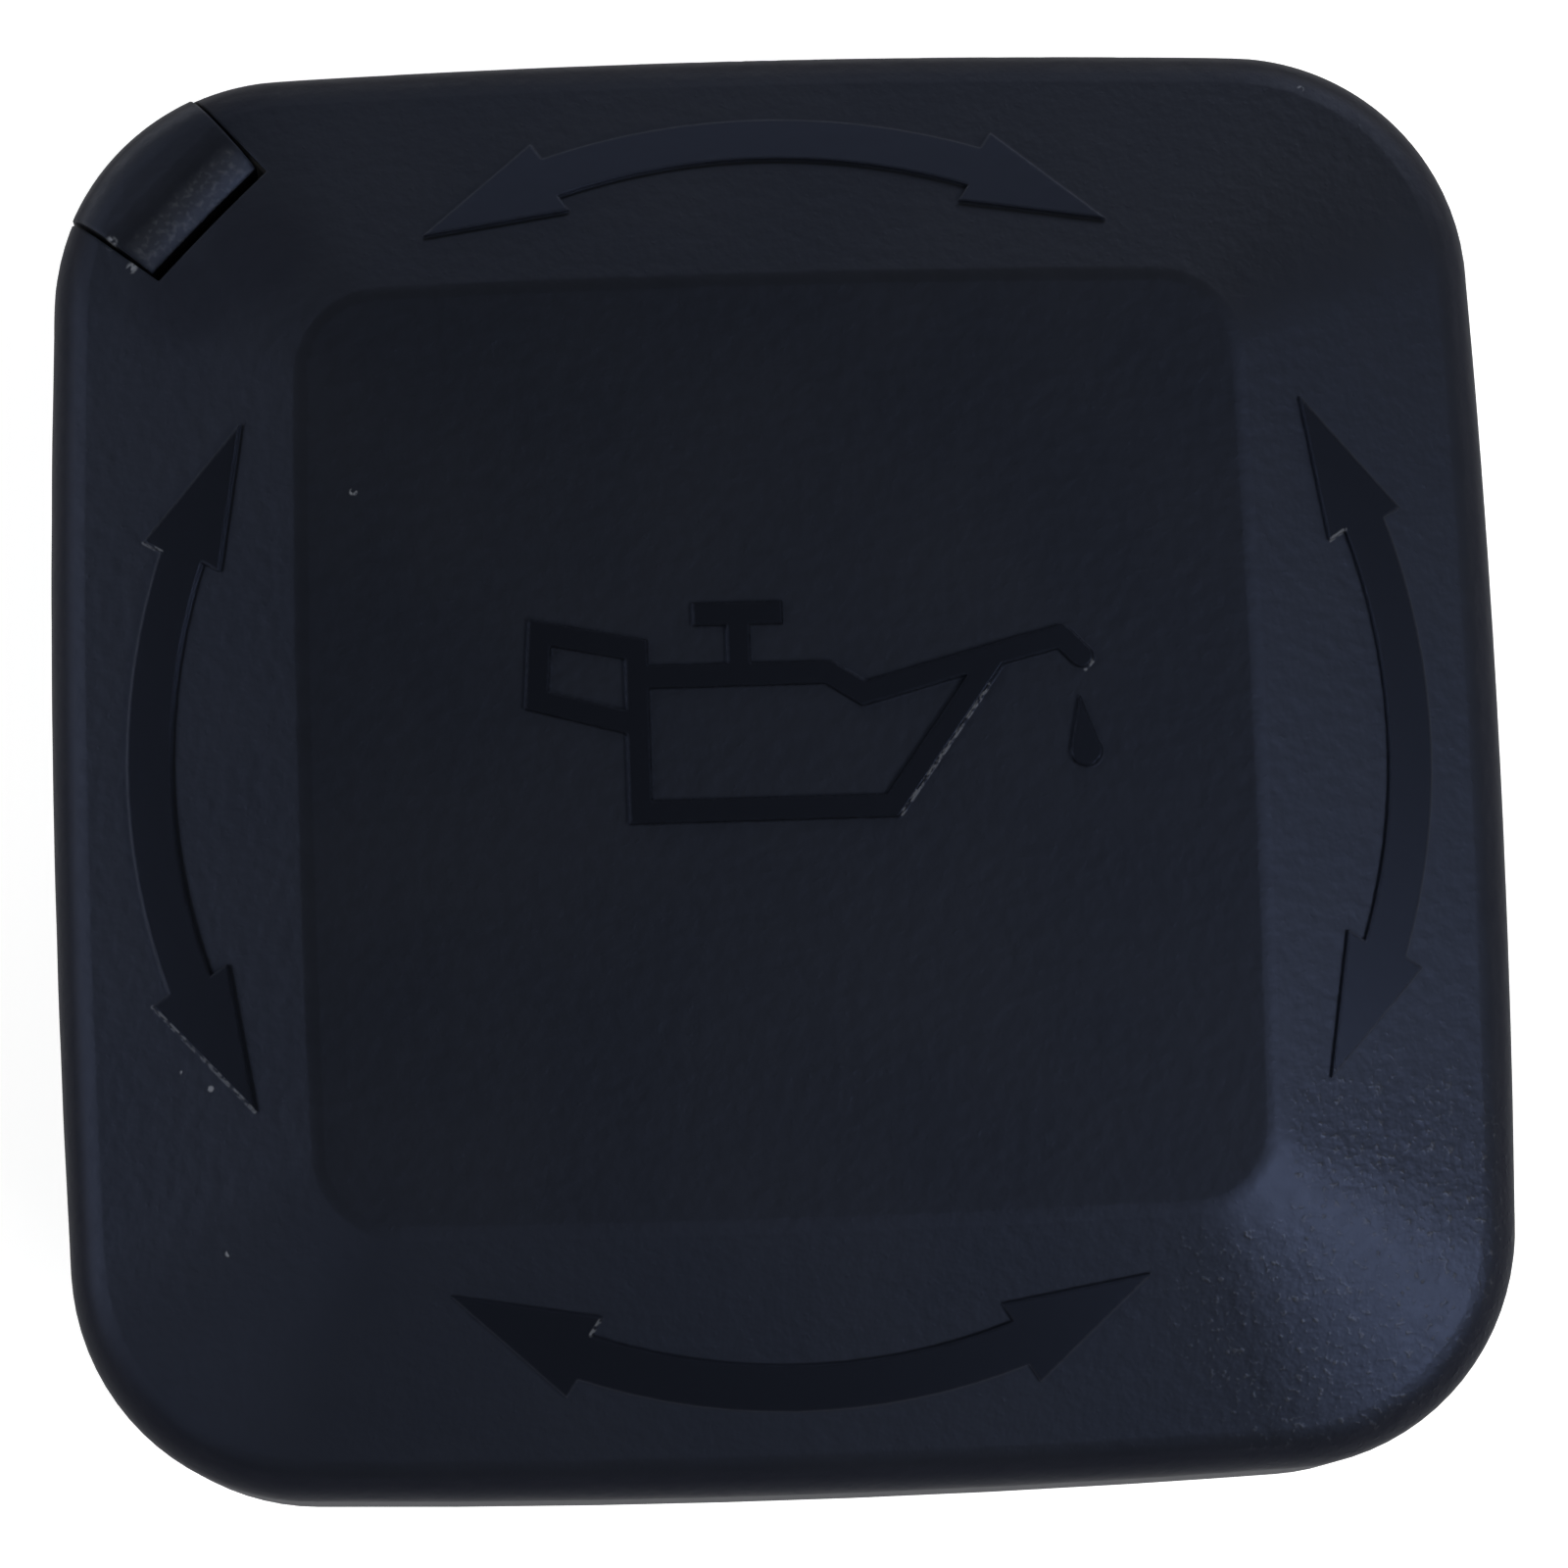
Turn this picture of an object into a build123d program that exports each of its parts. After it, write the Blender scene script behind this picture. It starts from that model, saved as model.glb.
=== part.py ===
from build123d import *
from math import atan2, cos, degrees, hypot, radians, sin, tan
import os

# Oil filler cap: a square moulded cover keyed onto a round bayonet plug, with a rubber
# sealing ring under the plug's flange and a sprung latch in one corner of the cover.
# Millimetres, +Z up, origin on the turning axis at the foot of the plug.

# Heights along the axis
pilot_foot = 9.5          # underside of the pilot land
pilot_length = 4.7        # from there up to the foot of the sealing ring
flange_thick = 2.4
skirt_above_seal = 0.6    # how far the cover's skirt stops short of the seal's foot
skirt_height = 10.2       # skirt foot up to the sharp rim, before it is rounded
top_drop = 4.2            # fall of the sloping band from the plateau to the rim

# Cover, outside
cover_width = 64.0        # across the middle of two bowed sides, at the rim
side_bow = 0.9            # how far a side bulges past its corners
corner_radius = 10.5
skirt_flare = 0.15        # draft: the skirt's foot stands this far outside the rim
skirt_round = 0.5         # outer edge of the skirt's foot
rim_round = 2.6
plateau_width = 41.4
plateau_bow = 0.3
plateau_corner = 3.6
plateau_round = 1.8

# Cover, inside
cover_wall = 2.2
collar_wall = 1.8         # round collar that holds the plug's flange
collar_shoulder = 2.0     # step inside the collar that the flange bears on
web_thick = 1.6           # stiffening webs from the collar to the corners

# Raised symbols on the cover
symbol_height = 0.2
arrow_arc_radius = 28.0   # middle line of the curved shaft
arrow_middle = 27.55      # from the turning axis to the middle of the shaft
arrow_shaft_width = 1.95
arrow_head_width = 3.7
arrow_head_start = 19.6   # degrees along the arc from the middle of the shaft
arrow_head_tip = 32.4
can_stroke = 1.0
can_left = -6.25          # body of the oil can, from the turning axis
can_right = 4.64
can_foot = -2.72
can_top = 3.18
can_shoulder = 2.05       # where the top of the body turns down to the spout
can_neck = (3.55, 2.2)    # where the spout leaves the body
spout_joint = (9.3, 3.74)
spout_bend = (12.2, 4.47)
spout_mouth = (13.05, 3.58)
grip_top_left = (-10.4, 5.25)
grip_top_right = 4.4      # height of the grip where it meets the body
grip_foot_right = 1.1
grip_foot_left = (-10.6, 2.3)
knob_place = -1.81
knob_top = 5.86
knob_bar = 3.9
drop_middle = (13.1, -0.58)
drop_radius = 0.68
drop_tip = (12.9, 1.85)

# Bayonet plug
neck_radius = 18.6
neck_wall = 2.2
core_width = 1.2          # ring-shaped core between the neck and the pilot's wall
pilot_wall = 1.8
pilot_floor = 2.2
seat_step = 0.3           # the sealing ring's seat stands this far outside the pilot
lug_inset = 0.3           # the lugs stay this far inside the pilot, to pass the filler neck
lug_foot = 1.6
lug_height = 3.6
lug_span = 62.0           # degrees
lug_count = 2
lug_ramp = 1.4            # lead-in on the top of each lug
stop_span = 7.0           # degrees, rib that ends the quarter turn
inner_web = 1.8
inner_web_foot = 1.2      # how far the webs stop above the foot
foot_round = 0.6          # lower edge of the neck
pilot_lead = 0.5          # bevel that leads the pilot into the filler neck
snap_bead = 0.4           # bead round the flange that clicks into the collar
snap_bead_height = 0.8
key_width = 6.0           # drive keys on the flange, one to each corner

# Sealing ring
seal_width = 3.2
seal_height = 2.8
seal_land = 1.7           # flat land that meets the filler neck
seal_shoulder = 1.6       # straight part of the ring's sides
seal_lip = 1.0            # rim of the flange outside the ring
seal_lip_drop = 0.8

# Corner latch
latch_span = 10.8         # degrees about the axis, between its two radial sides
latch_depth = 4.7         # of its top, in from the corner
arm_width = 6.0           # of its foot and of the plug's arm
latch_rise = 0.4          # its top stands this far above the cover
thumb_slope = 1.5         # inner edge of its top, turned down for the thumb: along the top
thumb_drop = 1.0          # and down the inner face
latch_crown = 3.8         # radius that rounds the top into the thumb slope
latch_travel_gap = 0.6    # open gap behind the latch, closed as it is pressed in
latch_side_gap = 0.18
latch_corner = 135.0      # degrees about the axis
pocket_wall = 1.2         # wall of the pocket in the cover that the latch sits in
pocket_clear = 0.3        # between the pocket and the latch's foot
foot_thick = 1.6
shutter_width = 8.4       # plate on its foot that closes the gap from below
shutter_reach = 1.2       # how far the plate runs out past the latch's inner edge
hinge_reach = 3.3         # from the collar out to the film hinge
film_thick = 0.7
film_groove = 1.2         # half width of the grooves that thin the film
film_cut = 0.06           # parting of the two halves of the film

# Fits
seal_fit = 0.1            # ring over its seat, and ring inside the flange's rim
collar_fit = 0.1          # flange in the collar, all round
key_fit = 0.15            # each side of a drive key

# Places that follow from the sizes above
seal_foot = pilot_foot + pilot_length
flange_foot = seal_foot + seal_height
flange_top = flange_foot + flange_thick
skirt_foot = seal_foot + skirt_above_seal
rim_level = skirt_foot + skirt_height
plateau_level = rim_level + top_drop
pilot_radius = neck_radius + core_width + pilot_wall
seat_radius = pilot_radius + seat_step
seal_inner = seat_radius + seal_fit
seal_outer = seal_inner + seal_width
flange_radius = seal_outer + seal_fit + seal_lip
collar_inner = flange_radius + collar_fit
collar_outer = collar_inner + collar_wall
neck_inner = neck_radius - neck_wall
hinge_place = collar_outer + hinge_reach
hinge_level = flange_top - foot_thick / 2

half_width = cover_width / 2
corner_point = half_width - side_bow
corner_reach = (corner_point - corner_radius) * 2 ** 0.5 + corner_radius
latch_inner = corner_reach - latch_depth
slot_inner = latch_inner - latch_travel_gap
far = 2 * cover_width     # longer than anything here, for tools that cut right through

foot_up = (Align.CENTER, Align.CENTER, Align.MIN)
from_axis = (Align.MIN, Align.CENTER, Align.MIN)


def disc(radius, low, high):
    return Pos(0, 0, low) * Cylinder(radius, high - low, align=foot_up)


def tube(outer, inner, low, high):
    return disc(outer, low, high) - disc(inner, low, high)


def spoke(start, end, width, low, high, turn):
    """A bar that runs out from the axis, from start to end, turned about it."""
    bar = Box(end - start, width, high - low, align=from_axis)
    return Rot(0, 0, turn) * Pos(start, 0, low) * bar


def radial_wedge(start, end, span, margin, low, high, turn):
    """A block between two radial sides, each moved out by a margin, turned about the axis."""
    def half(reach):
        return reach * tan(radians(span / 2)) + margin

    with BuildSketch() as plan:
        with BuildLine():
            Polyline(
                (start, -half(start)), (end, -half(end)), (end, half(end)), (start, half(start)),
                close=True,
            )
        make_face()
    return Rot(0, 0, turn) * Pos(0, 0, low) * extrude(plan.sketch, high - low)


def bowed_square(width, bow, radius):
    """A square with slightly bulging sides and round corners."""
    reach = width / 2
    corner = reach - bow
    with BuildSketch() as face:
        with BuildLine():
            for turn in range(4):
                spin = Rot(0, 0, 90 * turn)
                ends = [spin * Pos(corner, y, 0) for y in (-corner, corner)]
                middle = spin * Pos(reach, 0, 0)
                ThreePointArc(ends[0].position, middle.position, ends[1].position)
        make_face()
        fillet(face.vertices(), radius)
    return face.sketch


def between(lower, low, upper, high):
    return loft([Pos(0, 0, low) * lower, Pos(0, 0, high) * upper], ruled=True)


def edges_at(solid, level):
    near = 0.001
    box = [(edge, edge.bounding_box()) for edge in solid.edges()]
    return ShapeList(
        edge for edge, b in box if abs(b.min.Z - level) < near and abs(b.max.Z - level) < near
    )


def cover_outside():
    """The whole outer form of the cover, filled, with its rounded rim and plateau."""
    foot = bowed_square(cover_width + 2 * skirt_flare, side_bow, corner_radius + skirt_flare)
    rim = bowed_square(cover_width, side_bow, corner_radius)
    plateau = bowed_square(plateau_width, plateau_bow, plateau_corner)
    body = between(foot, skirt_foot, rim, rim_level) + between(rim, rim_level, plateau, plateau_level)
    for level, radius in (
        (plateau_level, plateau_round), (rim_level, rim_round), (skirt_foot, skirt_round),
    ):
        body = fillet(edges_at(body, level), radius)
    return body


def cover_inside():
    """The hollow under the cover, one wall in from the outside."""
    inner_radius = corner_radius - cover_wall
    foot = bowed_square(cover_width + 2 * skirt_flare - 2 * cover_wall, side_bow, inner_radius)
    rim = bowed_square(cover_width - 2 * cover_wall, side_bow, inner_radius)
    plateau = bowed_square(plateau_width, plateau_bow, plateau_corner)
    shoulder = rim_level - cover_wall
    return between(foot, skirt_foot, rim, shoulder) + between(
        rim, shoulder, plateau, plateau_level - cover_wall
    )


def arrow():
    """Curved two-headed arrow on the +X side, seen from above."""
    centre = arrow_middle - arrow_arc_radius

    def at(radius, angle):
        return (centre + radius * cos(radians(angle)), radius * sin(radians(angle)))

    inner, outer = (arrow_arc_radius + side * arrow_shaft_width / 2 for side in (-1, 1))
    start = arrow_head_start
    base, tip = Vector(at(arrow_arc_radius, start)), Vector(at(arrow_arc_radius, arrow_head_tip))
    across = (tip - base).normalized().rotate(Axis.Z, -90) * arrow_head_width / 2
    head = [base + across, tip, base - across]
    tail = [Vector(point.X, -point.Y) for point in reversed(head)]
    with BuildSketch() as face:
        with BuildLine():
            ThreePointArc(at(outer, -start), at(outer, 0), at(outer, start))
            Polyline(at(outer, start), *head, at(inner, start))
            ThreePointArc(at(inner, start), at(inner, 0), at(inner, -start))
            Polyline(at(inner, -start), *tail, at(outer, -start))
        make_face()
    return face.sketch


def outline_stroke(points):
    """A closed line of the can symbol, one stroke wide, with square corners."""
    with BuildSketch() as face:
        with BuildLine():
            Polyline(*points, close=True)
        make_face()
    wide = offset(face.sketch, can_stroke / 2, kind=Kind.INTERSECTION)
    narrow = offset(face.sketch, -can_stroke / 2, kind=Kind.INTERSECTION)
    return wide - narrow


def stroke(start, end):
    """A straight line of the can symbol with round ends."""
    run = hypot(end[0] - start[0], end[1] - start[1])
    lean = degrees(atan2(end[1] - start[1], end[0] - start[0]))
    middle = Pos((start[0] + end[0]) / 2, (start[1] + end[1]) / 2, 0)
    return middle * Rot(0, 0, lean) * SlotCenterToCenter(run, can_stroke)


def oil_can():
    """The common oil can sign: body, grip, filler knob, spout and a falling drop."""
    body = outline_stroke([
        (can_left, can_top), (can_shoulder, can_top), can_neck,
        spout_joint, (can_right, can_foot), (can_left, can_foot),
    ])
    grip = outline_stroke([
        grip_top_left, (can_left, grip_top_right), (can_left, grip_foot_right), grip_foot_left,
    ])
    stem = Pos(knob_place, (can_top + knob_top) / 2, 0) * Rectangle(can_stroke, knob_top - can_top)
    bar = Pos(knob_place, knob_top, 0) * Rectangle(knob_bar, can_stroke)
    spout = stroke(spout_joint, spout_bend) + stroke(spout_bend, spout_mouth)
    with BuildSketch() as tail:
        with BuildLine():
            left = (drop_middle[0] - drop_radius, drop_middle[1])
            right = (drop_middle[0] + drop_radius, drop_middle[1])
            Polyline(left, right, drop_tip, close=True)
        make_face()
    drop = tail.sketch + Pos(*drop_middle, 0) * Circle(drop_radius)
    return [body + grip + stem + bar + spout, drop]


def raised_symbols(outside):
    """Arrows and can, standing up from the outside by an even height."""
    lifted = Pos(0, 0, symbol_height) * outside
    rise = plateau_level + symbol_height - skirt_foot
    faces = [Rot(0, 0, 90 * turn) * arrow() for turn in range(4)] + oil_can()
    return [lifted & (Pos(0, 0, skirt_foot) * extrude(face, rise, dir=(0, 0, 1))) for face in faces]


def cover():
    outside = cover_outside()
    shell = outside
    for symbol in raised_symbols(outside):
        shell += symbol
    shell -= cover_inside()

    # Round collar with a shoulder for the flange and a groove for its bead
    collar = tube(collar_outer, collar_inner, flange_foot, plateau_level)
    collar += tube(collar_outer, collar_inner - collar_shoulder, flange_top, plateau_level)
    bead_level = flange_foot + (flange_thick - snap_bead_height) / 2 - collar_fit
    collar -= disc(
        collar_inner + snap_bead, bead_level, bead_level + snap_bead_height + 2 * collar_fit
    )
    shell += collar & outside

    # Webs from the collar to the three corners without the latch
    for turn in (90, 180, 270):
        web = spoke(
            collar_outer - collar_wall / 2, corner_reach - cover_wall / 2, web_thick,
            flange_foot, plateau_level, latch_corner + turn,
        )
        shell += web & outside

    # Slots for the plug's drive keys, and for the latch's arm
    for turn, width in ((0, arm_width), (90, key_width), (180, key_width), (270, key_width)):
        shell -= spoke(
            collar_inner - collar_shoulder / 2, collar_outer, width + 2 * key_fit,
            skirt_foot, flange_top, latch_corner + turn,
        )

    # Pocket for the latch, with a slot through it that leaves the latch free
    pocket = radial_wedge(
        slot_inner - pocket_wall, corner_reach, latch_span, latch_side_gap + pocket_wall,
        flange_top + pocket_clear, plateau_level, latch_corner,
    )
    shell += pocket & outside
    return shell - radial_wedge(slot_inner, far, latch_span, latch_side_gap, 0, far, latch_corner)


def film_hinge_groove():
    """The two grooves, above and below, that thin the latch's foot to a film."""
    with BuildSketch(Plane.XZ) as wedge:
        for side in (-1, 1):
            with BuildLine():
                tip = (hinge_place, hinge_level + side * film_thick / 2)
                wide = hinge_level + side * foot_thick
                spread = film_groove * (foot_thick - film_thick / 2) / (foot_thick / 2 - film_thick / 2)
                Polyline(tip, (hinge_place - spread, wide), (hinge_place + spread, wide), close=True)
            make_face()
    grooves = extrude(wedge.sketch, arm_width, both=True)
    return Rot(0, 0, latch_corner) * grooves


def bayonet_plug():
    # Flange with its bead, and the rim outside the sealing ring
    plug = disc(flange_radius, flange_foot, flange_top)
    bead_level = flange_foot + (flange_thick - snap_bead_height) / 2
    plug += disc(flange_radius + snap_bead, bead_level, bead_level + snap_bead_height)
    plug += tube(flange_radius, flange_radius - seal_lip, flange_foot - seal_lip_drop, flange_foot)

    # Pilot and neck, hollow from below, with a ring-shaped core let in from above
    plug += disc(pilot_radius, pilot_foot, seal_foot) + disc(seat_radius, seal_foot, flange_foot)
    plug += disc(neck_radius, 0, pilot_foot)
    plug = fillet(edges_at(plug, 0), foot_round)
    plug = chamfer(edges_at(plug, pilot_foot).sort_by(SortBy.LENGTH)[-1], pilot_lead)
    plug -= disc(neck_inner, 0, flange_foot)
    plug -= tube(neck_radius + core_width, neck_radius, pilot_foot + pilot_floor, flange_top)
    for turn in (0, 90):
        web = Box(2 * neck_radius - neck_wall, inner_web, flange_foot - inner_web_foot, align=foot_up)
        plug += Rot(0, 0, turn) * Pos(0, 0, inner_web_foot) * web

    # Drive keys, which also bridge the core
    for turn in (90, 180, 270):
        plug += spoke(
            neck_radius - neck_wall / 2, collar_outer - key_fit, key_width,
            flange_foot, flange_top, latch_corner + turn,
        )

    # Bayonet lugs with a lead-in ramp and a stop rib
    for index in range(lug_count):
        plug += Rot(0, 0, index * 360 / lug_count) * bayonet_lug()

    # Arm that carries the latch, thinned to a film at its end
    arm = spoke(
        neck_radius - neck_wall / 2, hinge_place - film_cut / 2, arm_width,
        flange_top - foot_thick, flange_top, latch_corner,
    )
    return plug + (arm - film_hinge_groove())


def ring_piece(inner, outer, span, low, high):
    """Part of a ring about the axis, centred on +X."""
    with BuildSketch(Plane.XZ) as section:
        with Locations(((inner + outer) / 2, (low + high) / 2)):
            Rectangle(outer - inner, high - low)
    return Rot(0, 0, -span / 2) * revolve(section.sketch, Axis.Z, span)


def bayonet_lug():
    inner = neck_radius - neck_wall / 2
    outer = pilot_radius - lug_inset
    top = lug_foot + lug_height
    lug = ring_piece(inner, outer, lug_span, lug_foot, top)
    lead = lug.faces().sort_by(Axis.Y)[0].edges().sort_by(Axis.Z)[-1]
    lug = chamfer(lead, lug_ramp, 2 * lug_ramp)
    stop = ring_piece(inner, outer, stop_span, lug_foot, pilot_foot)
    return lug + Rot(0, 0, (lug_span - stop_span) / 2) * stop


def sealing_ring():
    middle = (seal_inner + seal_outer) / 2
    shoulder = flange_foot - seal_shoulder
    with BuildSketch(Plane.XZ) as section:
        with BuildLine():
            Polyline(
                (seal_inner, flange_foot), (seal_outer, flange_foot), (seal_outer, shoulder),
                (middle + seal_land / 2, seal_foot), (middle - seal_land / 2, seal_foot),
                (seal_inner, shoulder), close=True,
            )
        make_face()
    return revolve(section.sketch, Axis.Z)


def corner_latch():
    """The corner of the cover, parted from it, on a foot that bends at the film hinge."""
    skin = Pos(0, 0, latch_rise) * (cover_outside() - cover_inside())
    head = skin & radial_wedge(latch_inner, far, latch_span, 0, skirt_foot, far, latch_corner)
    back = Rot(0, 0, -latch_corner) * head
    inner_face = back.faces().sort_by(Axis.X)[0]
    inner_edge = inner_face.edges().sort_by(Axis.Z)[-1]
    back = chamfer(inner_edge, thumb_drop, thumb_slope, reference=inner_face)
    thumb_face = back.faces().sort_by(Axis.X)[1]
    back = fillet(thumb_face.edges().sort_by(Axis.Z)[-1], latch_crown)
    foot = spoke(
        hinge_place + film_cut / 2, corner_reach - cover_wall / 2, arm_width,
        flange_top - foot_thick, flange_top, latch_corner,
    )
    shutter = spoke(
        hinge_place + film_groove, latch_inner + shutter_reach, shutter_width,
        flange_top - foot_thick, flange_top, latch_corner,
    )
    return Rot(0, 0, latch_corner) * back + (foot - film_hinge_groove()) + shutter


os.makedirs("parts", exist_ok=True)
for name, piece in (
    ("cover", cover()),
    ("bayonet_plug", bayonet_plug()),
    ("sealing_ring", sealing_ring()),
    ("corner_latch", corner_latch()),
):
    export_step(piece, f"parts/{name}.step")
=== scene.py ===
import math
from functools import reduce

import bpy
from mathutils import Matrix, Vector


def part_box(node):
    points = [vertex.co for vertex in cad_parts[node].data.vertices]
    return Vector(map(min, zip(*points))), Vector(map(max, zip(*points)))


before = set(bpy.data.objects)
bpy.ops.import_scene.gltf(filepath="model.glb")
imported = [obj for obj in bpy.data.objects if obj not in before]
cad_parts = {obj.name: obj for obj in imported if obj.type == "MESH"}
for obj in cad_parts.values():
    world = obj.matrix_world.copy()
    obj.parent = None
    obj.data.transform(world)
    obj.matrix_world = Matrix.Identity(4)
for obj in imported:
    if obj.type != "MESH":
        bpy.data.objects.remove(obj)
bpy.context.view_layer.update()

# Bayonet plug: the round body that turns into the filler neck, one moulding in black glass
# filled nylon with webs, two lugs and an arm for the latch. Its flange snaps into the cover.
plug_black = (0.010, 0.011, 0.013)
plug_bloom = (0.022, 0.023, 0.026)
plug_roughness = 0.40
plug_specular = 0.45
plug_round = 0.00018
flow_pitch = 0.006
flow_squeeze = 0.25
flow_bloom = 0.6
flow_roughness = 0.12
fibre_pitch = 0.0006
fibre_squeeze = 0.3
fibre_depth = 0.000012
fibre_roughness = 0.10
lug_reach = 0.0202
lug_top = 0.0055
rub_width = 0.0008
rub_fade = 0.0006
rub_bloom = 0.5
rub_polish = 0.08


class Link:
    """A socket in a material. Sums on links are written as plain Python and become Math nodes."""

    def __init__(self, socket):
        self.socket = socket
        self.tree = socket.id_data

    def node(self, kind, settings, values, output=0):
        """Adds a node with these settings, and with values or links in its sockets."""
        made = self.tree.nodes.new(kind)
        for name, value in settings.items():
            setattr(made, name, value)
        for name, value in values.items():
            if isinstance(value, Link):
                self.tree.links.new(value.socket, made.inputs[name])
            else:
                made.inputs[name].default_value = value
        return Link(made.outputs[output])

    def math(self, operation, *values):
        return self.node("ShaderNodeMath", {"operation": operation}, dict(enumerate(values)))

    def __add__(self, other):
        return self.math("ADD", self, other)

    def __sub__(self, other):
        return self.math("SUBTRACT", self, other)

    def __rsub__(self, other):
        return self.math("SUBTRACT", other, self)

    def __mul__(self, other):
        return self.math("MULTIPLY", self, other)

    def __abs__(self):
        return self.math("ABSOLUTE", self)

    __radd__ = __add__
    __rmul__ = __mul__

    def above(self, other):
        return self.math("MAXIMUM", self, other)

    def below(self, other):
        return self.math("MINIMUM", self, other)

    def ramp(self, low, high):
        """Rises smoothly from 0 at low to 1 at high; a high under the low makes it fall."""
        start, end, first, last = (low, high, 0.0, 1.0) if low < high else (high, low, 1.0, 0.0)
        return self.node(
            "ShaderNodeMapRange", {"interpolation_type": "SMOOTHSTEP"},
            {"Value": self, "From Min": start, "From Max": end, "To Min": first, "To Max": last},
        )

    def blend(self, first, second):
        """From one colour to another as this link goes from 0 to 1."""
        def colour(value):
            return value if isinstance(value, Link) else (*value, 1.0)

        # Sockets 6 and 7 take the node's two colours, and output 2 gives the mixed one.
        return self.node(
            "ShaderNodeMix", {"data_type": "RGBA"}, {0: self, 6: colour(first), 7: colour(second)}, 2,
        )

    def vector(self, operation, other):
        """The vector that an operation makes of this vector and another."""
        return self.node("ShaderNodeVectorMath", {"operation": operation}, {0: self, 1: other})

    def measure(self, operation, other):
        """The number that an operation makes of this vector and another."""
        return self.node("ShaderNodeVectorMath", {"operation": operation}, {0: self, 1: other}, 1)

    def parts(self):
        """The x, y and z of this place."""
        split = self.node("ShaderNodeSeparateXYZ", {}, {0: self}).socket.node
        return [Link(socket) for socket in split.outputs]

    def squeeze(self, x, y, z):
        """This place with its axes shrunk, so that a pattern drawn on it is drawn out."""
        return self.vector("MULTIPLY", (x, y, z))

    def noise(self, pitch, detail=2.0):
        """Even noise about 0.5, with blobs of that pitch; this link is the place."""
        values = {"Vector": self, "Scale": 1 / pitch, "Detail": detail}
        return self.node("ShaderNodeTexNoise", {}, values)

    def spot(self, middle, radius, core=0.4):
        """1 about a place in plan, fading from the core, a share of the radius, to 0 at the radius."""
        away = self.squeeze(1, 1, 0).measure("DISTANCE", (*middle, 0))
        return away.ramp(radius, core * radius)

    def streak(self, start, end, width, core=0.3):
        """1 along a line in plan, fading from the core, a share of the half width, to 0 at the side."""
        run = Vector((*end, 0)) - Vector((*start, 0))
        from_start = self.squeeze(1, 1, 0).vector("SUBTRACT", (*start, 0))
        share = from_start.measure("DOT_PRODUCT", run / run.length_squared).above(0.0).below(1.0)
        nearest = self.node("ShaderNodeVectorMath", {"operation": "SCALE"}, {0: run, "Scale": share})
        away = from_start.measure("DISTANCE", nearest)
        return away.ramp(width / 2, core * width / 2)

    def rounded(self, reach):
        """The normal of the piece, with its sharp edges rounded over that reach."""
        return self.node("ShaderNodeBevel", {"samples": 2}, {"Radius": reach})

    def edges(self, turned=0.9):
        """1 where the rounding has turned a normal to that cosine; this link is a rounded normal."""
        flat = self.node("ShaderNodeNewGeometry", {}, {}, "True Normal")
        return self.measure("DOT_PRODUCT", flat).ramp(1.0, turned)

    def relief(self, depth, normal):
        """That normal, with this link as a height on the surface."""
        values = {"Height": self, "Distance": depth, "Normal": normal}
        return self.node("ShaderNodeBump", {}, values)

    def plastic(self, **values):
        """A plain shader, with this link as its colour."""
        named = {name.replace("_", " "): value for name, value in values.items()}
        return self.node("ShaderNodeBsdfPrincipled", {}, {"Base Color": self, **named})


def new_material(name):
    """A material with no shader yet, and the place on the piece that its pattern is drawn on."""
    material = bpy.data.materials.new(name)
    material.use_nodes = True
    nodes = material.node_tree.nodes
    nodes.remove(nodes["Principled BSDF"])
    return material, Link(nodes.new("ShaderNodeTexCoord").outputs["Object"])


def finish(material, shader):
    """Gives a material its shader."""
    tree = material.node_tree
    tree.links.new(shader.socket, tree.nodes["Material Output"].inputs["Surface"])


def dress(piece, material):
    """Gives a piece one material and no other."""
    piece.data.materials.clear()
    piece.data.materials.append(material)


nylon, place = new_material("glass_filled_nylon")
x, y, z = place.parts()
flow = place.squeeze(1, 1, flow_squeeze).noise(flow_pitch, 3.0)
fibres = place.squeeze(1, 1, fibre_squeeze).noise(fibre_pitch, 3.0)
square_reach = x * x + y * y
lug_faces = square_reach.ramp(lug_reach ** 2, (lug_reach + rub_width) ** 2)
rubbed = lug_faces * z.ramp(lug_top, lug_top - rub_fade)
bloom = flow_bloom * flow.ramp(0.42, 0.7) + rub_bloom * rubbed * fibres.ramp(0.4, 0.6)
uneven = flow_roughness * (flow - 0.5) + fibre_roughness * (fibres - 0.5)
finish(nylon, bloom.below(1.0).blend(plug_black, plug_bloom).plastic(
    Roughness=plug_roughness + uneven - rub_polish * rubbed,
    Specular_IOR_Level=plug_specular,
    Normal=fibres.relief(fibre_depth, place.rounded(plug_round)),
))
dress(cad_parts["bayonet_plug"], nylon)

# Sealing ring: a moulded ring of black nitrile rubber, pressed over the seat under the flange.
# Its land closes on the filler neck; the surface is dull, with a little pale bloom.
rubber_black = (0.0125, 0.0125, 0.013)
rubber_bloom = (0.034, 0.034, 0.035)
rubber_roughness = 0.62
rubber_specular = 0.28
ring_round = 0.0002
pore_pitch = 0.00025
pore_depth = 0.00001
pore_bloom = 0.2
pore_roughness = 0.08
dust_pitch = 0.004
dust_bloom = 0.7
dust_roughness = 0.12

rubber, place = new_material("nitrile_rubber")
pores = place.noise(pore_pitch)
dust = place.noise(dust_pitch, 4.0).ramp(0.45, 0.75)
bloom = dust_bloom * dust + pore_bloom * pores.ramp(0.5, 0.75)
finish(rubber, bloom.blend(rubber_black, rubber_bloom).plastic(
    Roughness=rubber_roughness + dust_roughness * dust + pore_roughness * (pores - 0.5),
    Specular_IOR_Level=rubber_specular,
    Normal=pores.relief(pore_depth, place.rounded(ring_round)),
))
dress(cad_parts["sealing_ring"], rubber)

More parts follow.
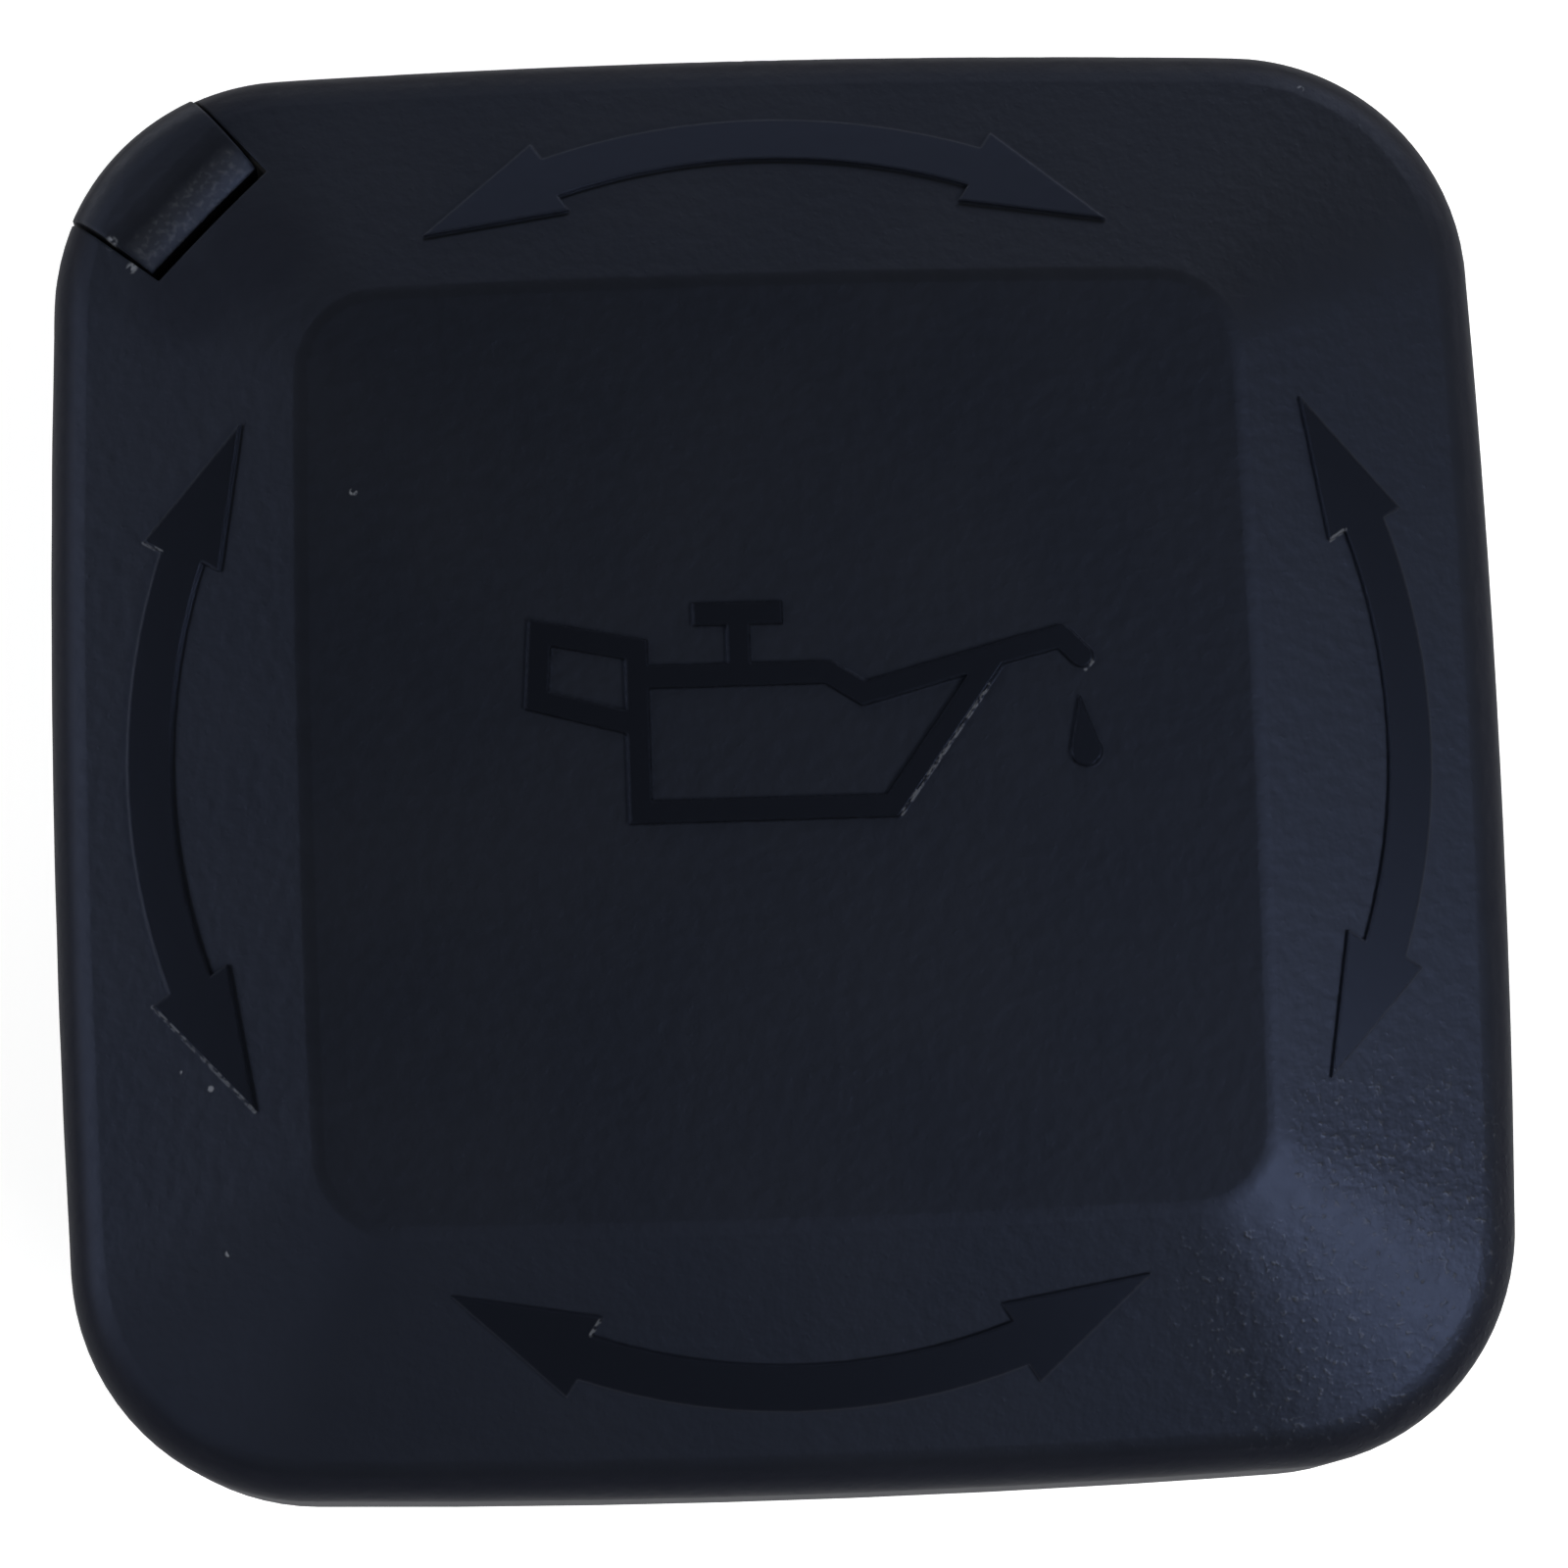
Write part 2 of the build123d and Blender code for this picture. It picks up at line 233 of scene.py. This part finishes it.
# Cover: the square hand grip, moulded in blue-black polypropylene over the plug's flange.
# The mould is spark eroded, so the skin is grained, coarser in one corner and duller below the
# rim, while the raised signs are left smooth. Use has worn a few nicks and the thumb's place pale.
# Pale glints on some edges and beside the latch, pale sparkle in the coarse corner, darker patches
# beside the latch and the skirt's bluer colour are painted light and shade.
cover_black = (0.0056, 0.0060, 0.0064)
cover_pale = (0.0072, 0.0076, 0.0080)
cover_sheen = (0.437, 0.5625, 1.0, 1.0)
cover_roughness = 0.45
cover_specular = 0.40
cover_round = 0.00018
cloud_pitch = 0.009
plateau_half = 0.0207
band_drop = 0.0042

# The skirt's colour is bluer than the top's. It paints the cool sheen that its dull finish reflects
# little of.
skirt_black_painted_sheen = (0.0074, 0.0083, 0.0132)
skirt_pale_painted_sheen = (0.0090, 0.0100, 0.0153)
skirt_roughness = 0.62
skirt_specular = 0.09
rim_high = 0.0257
rim_low = 0.0249

lump_pitch = 0.0007
lump_depth = 0.000027
lump_roughness = 0.10
skirt_lump_roughness = 0.06
pimple_pitch = 0.00030
pimple_depth = 0.000025
pimple_level = 0.57
pimple_gain = 4.0
pimple_share = 0.2
coarse_place = (0.0260, -0.0235)
coarse_reach = 0.012
coarse_fade = 0.001
coarse_depth = 0.00002
coarse_lumps = 0.6
coarse_sparkle_paint = 0.20

sign_black = (0.0029, 0.0030, 0.0031)
sign_height = 0.0002
sign_foot = 0.25 * sign_height
sign_brow = 0.6 * sign_height
sign_smoothing = 0.85
sign_polish = 0.18
edge_polish = 0.65

# Pale colour for worn nicks and the thumb's wear, and for the painted glints and painted sparkle.
pale_wear_and_glints = (0.16, 0.17, 0.19)
nick_and_glint_spots = [
    # (x, y), reach: painted glints at the cover's edge beside the latch, and worn nicks on the plateau
    # and on the band
    ((-0.0288, 0.0238), 0.00035),
    ((-0.0279, 0.0226), 0.00032),
    ((-0.0183, 0.0117), 0.00022),
    ((-0.0263, -0.0131), 0.00018),
    ((-0.0251, -0.0139), 0.00018),
    ((-0.0245, -0.0210), 0.00018),
    ((0.0243, 0.0296), 0.00020),
]
painted_edge_glints = [
    # start, end: painted glints on edges that face the lamp, on the arrow heads, the can's front and
    # the mouth of its spout
    ((-0.0276, -0.0102), (-0.0232, -0.0150)),
    ((-0.0276, 0.0102), (-0.0268, 0.0097)),
    ((0.0243, 0.0086), (0.0250, 0.0091)),
    ((-0.0086, -0.0243), (-0.0091, -0.0250)),
    ((0.0050, -0.0031), (0.0090, 0.0024)),
    ((0.0132, 0.0030), (0.0136, 0.0034)),
]
edge_glint_width = 0.00024
edge_glint_strength = 0.55

# The thumb's place on the latch: its reach toward the corner is y - x, and across it x + y.
thumb_start = 0.0490
thumb_start_fade = 0.0003
thumb_end = 0.0520
thumb_end_fade = 0.0008
thumb_half_width = 0.0048
thumb_side_fade = 0.0006
thumb_wear = 0.05
thumb_flecks = 0.12
# Darker, duller patches on the band beside the latch: painted shade.
latch_shade_patches = [((-0.0224, 0.0229), 0.0034), ((-0.0256, 0.0208), 0.0030)]
latch_shade_strength = 0.35

cover_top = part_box("cover")[1]
plateau_level = cover_top.z - sign_height
band_slope = band_drop / (cover_top.x - plateau_half)

grained, place = new_material("grained_polypropylene")
x, y, z = place.parts()
past_plateau = (abs(x).above(abs(y)) - plateau_half).above(0.0)
height = z - plateau_level + band_slope * past_plateau
raised = height.ramp(sign_foot, sign_brow)
rounded = place.rounded(cover_round)
smooth = raised + (edge_polish - raised) * rounded.edges() * z.ramp(rim_low, rim_high)

cloud = place.noise(cloud_pitch, 3.0).ramp(0.3, 0.7)
lumps = place.noise(lump_pitch)
speckle = place.noise(pimple_pitch, 1.0)
coarse = place.spot(coarse_place, coarse_reach) * past_plateau.ramp(0.0, coarse_fade)
pimples = (pimple_gain * (speckle - pimple_level)).above(0.0)
pimples = pimples * pimples * (pimple_share + (1 - pimple_share) * coarse)
grain = lump_depth * lumps * (1 + coarse_lumps * coarse) + pimple_depth * pimples
grain = grain + coarse_depth * coarse * speckle
normal = (grain * (1 - sign_smoothing * raised)).relief(1.0, rounded)

# Pale spots: worn nicks, and painted glints at the cover's edge beside the latch.
nicked_and_glinting = reduce(Link.above, [place.spot(middle, reach) for middle, reach in nick_and_glint_spots])
# Pale lines along a few sign edges are painted glints.
glinting_edges = reduce(Link.above, [place.streak(start, end, edge_glint_width) for start, end in painted_edge_glints])
scuffs_and_glints = nicked_and_glinting.above(edge_glint_strength * glinting_edges) * speckle.ramp(0.40, 0.55)
# Pale flecks in the coarse corner paint the sparkle of the sheen there.
painted_sparkle = coarse_sparkle_paint * coarse * speckle.ramp(0.58, 0.76)
to_corner = y - x
thumb = to_corner.ramp(thumb_start, thumb_start + thumb_start_fade)
thumb = thumb * to_corner.ramp(thumb_end, thumb_end - thumb_end_fade)
thumb = thumb * abs(x + y).ramp(thumb_half_width, thumb_half_width - thumb_side_fade)
thumbed = thumb * (thumb_wear + thumb_flecks * speckle.ramp(0.45, 0.75))
# Pale wear, painted glints and painted sparkle together.
wear_and_glints = scuffs_and_glints.above(painted_sparkle).above(thumbed)

skin = cloud.blend(cover_black, cover_pale)
top = wear_and_glints.blend(smooth.blend(skin, sign_black), pale_wear_and_glints).plastic(
    Roughness=cover_roughness + lump_roughness * (lumps - 0.5) * (1 - smooth) - sign_polish * smooth,
    Specular_IOR_Level=cover_specular,
    Specular_Tint=cover_sheen,
    Normal=normal,
)
side = cloud.blend(skirt_black_painted_sheen, skirt_pale_painted_sheen).plastic(
    Roughness=skirt_roughness + skirt_lump_roughness * (lumps - 0.5),
    Specular_IOR_Level=skirt_specular,
    Specular_Tint=cover_sheen,
    Normal=normal,
)
# The duller side finish is also laid on the band beside the latch, as painted shade.
latch_shaded = reduce(Link.above, [place.spot(middle, reach) for middle, reach in latch_shade_patches])
dull = z.ramp(rim_high, rim_low).above(latch_shade_strength * latch_shaded)
finish(grained, dull.node("ShaderNodeMixShader", {}, {0: dull, 1: top, 2: side}))
dress(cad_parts["cover"], grained)

# Corner latch: the cover's fourth corner, parted from it, which is pressed in to let go.
# It sits on a foot that bends at the plug's arm but carries the cover's grain, so it takes the
# same finish.
dress(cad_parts["corner_latch"], grained)

# Floor: a plain white sheet under the cap, which keeps the cap's shadow.
# Seen straight on or in a reflection it is lifted to the white of the sheet.
floor_half = 1.2
floor_white = (0.80, 0.80, 0.80)
floor_pale = (0.82, 0.82, 0.82)
floor_lift = 0.75
paper_pitch = 0.05

floor_mesh = bpy.data.meshes.new("floor")
corners = [(-floor_half, -floor_half, 0), (floor_half, -floor_half, 0)]
corners += [(floor_half, floor_half, 0), (-floor_half, floor_half, 0)]
floor_mesh.from_pydata(corners, [], [(0, 1, 2, 3)])
floor = bpy.data.objects.new("floor", floor_mesh)
bpy.context.scene.collection.objects.link(floor)
sheet, place = new_material("white_sheet")
ray = place.node("ShaderNodeLightPath", {}, {}).socket.node
seen = Link(ray.outputs["Is Camera Ray"]) + Link(ray.outputs["Is Glossy Ray"])
seen = (seen + Link(ray.outputs["Is Transmission Ray"])).below(1.0)
finish(sheet, place.noise(paper_pitch).blend(floor_white, floor_pale).plastic(
    Roughness=1.0,
    Specular_IOR_Level=0.0,
    Emission_Color=seen.blend((0.0, 0.0, 0.0), (1.0, 1.0, 1.0)),
    Emission_Strength=floor_lift,
))
dress(floor, sheet)

# Lights: soft boxes about the cap, aimed at it, with the dark of the room between them.
# The small bright lamp to the right makes the soft sheen on the cover's lower right corner.
room_light = 0.0
lamp_aim = Vector((0.0, 0.0, 0.025))
lamps = {
    # name: (degrees round from +X, degrees up, distance, width, height, brightness)
    "corner_lamp": (-18, 47, 0.5, 0.17, 0.17, 9.7),
    "front_right_box": (-45, 45, 0.5, 0.28, 0.22, 3.1),
    "front_box": (-90, 45, 0.5, 0.28, 0.22, 0.16),
    "front_left_box": (-135, 45, 0.9, 0.50, 0.40, 1.2),
    "left_box": (180, 28, 0.9, 0.50, 0.25, 2.9),
    "left_strip": (180, 12, 0.9, 0.60, 0.25, 2.9),
    "back_left_box": (135, 28, 0.9, 0.50, 0.25, 1.7),
    "back_box": (90, 28, 0.9, 0.50, 0.25, 1.2),
    "back_right_strip": (55, 12, 0.9, 0.60, 0.25, 3.6),
    "right_box": (0, 45, 0.5, 0.28, 0.22, 0.32),
    "right_high_box": (0, 68, 0.9, 0.45, 0.35, 0.85),
    "overhead_box": (0, 90, 0.9, 0.60, 0.60, 0.15),
}
for name, (turn, rise, distance, width, height, brightness) in lamps.items():
    data = bpy.data.lights.new(name, "AREA")
    data.shape = "RECTANGLE"
    data.size = width
    data.size_y = height
    # The power that gives a face of this size that brightness
    data.energy = brightness * math.pi * width * height
    lamp = bpy.data.objects.new(name, data)
    bpy.context.scene.collection.objects.link(lamp)
    level = math.cos(math.radians(rise))
    toward = Vector((
        level * math.cos(math.radians(turn)),
        level * math.sin(math.radians(turn)),
        math.sin(math.radians(rise)),
    ))
    lamp.location = lamp_aim + distance * toward
    lamp.rotation_euler = toward.to_track_quat("Z", "Y").to_euler()

room = bpy.data.worlds.new("room")
room.use_nodes = True
room.node_tree.nodes["Background"].inputs["Strength"].default_value = room_light
bpy.context.scene.world = room

# Camera: almost straight above the cap, leaning a little to the front and to the left.
# The picture is square; the focal length is given in its pixels.
picture_pixels = 1600
focal_pixels = 5781
sensor_millimetres = 36.0
camera_tilt = math.radians(7.93)
camera_lean = math.radians(-2.2)
camera_roll = math.radians(-2.0)
camera_distance = 0.25126
camera_aim = Vector((0.0002, -0.00072, 0.0226))

camera_data = bpy.data.cameras.new("camera")
camera_data.sensor_width = sensor_millimetres
camera_data.lens = focal_pixels / picture_pixels * sensor_millimetres
camera = bpy.data.objects.new("camera", camera_data)
bpy.context.scene.collection.objects.link(camera)
turned = Matrix.Rotation(camera_lean, 4, "Y") @ Matrix.Rotation(camera_tilt, 4, "X")
turned = turned @ Matrix.Rotation(camera_roll, 4, "Z")
stand_off = turned @ Vector((0.0, 0.0, camera_distance))
camera.matrix_world = Matrix.Translation(camera_aim + stand_off) @ turned
bpy.context.scene.camera = camera
bpy.context.scene.view_settings.view_transform = "Standard"
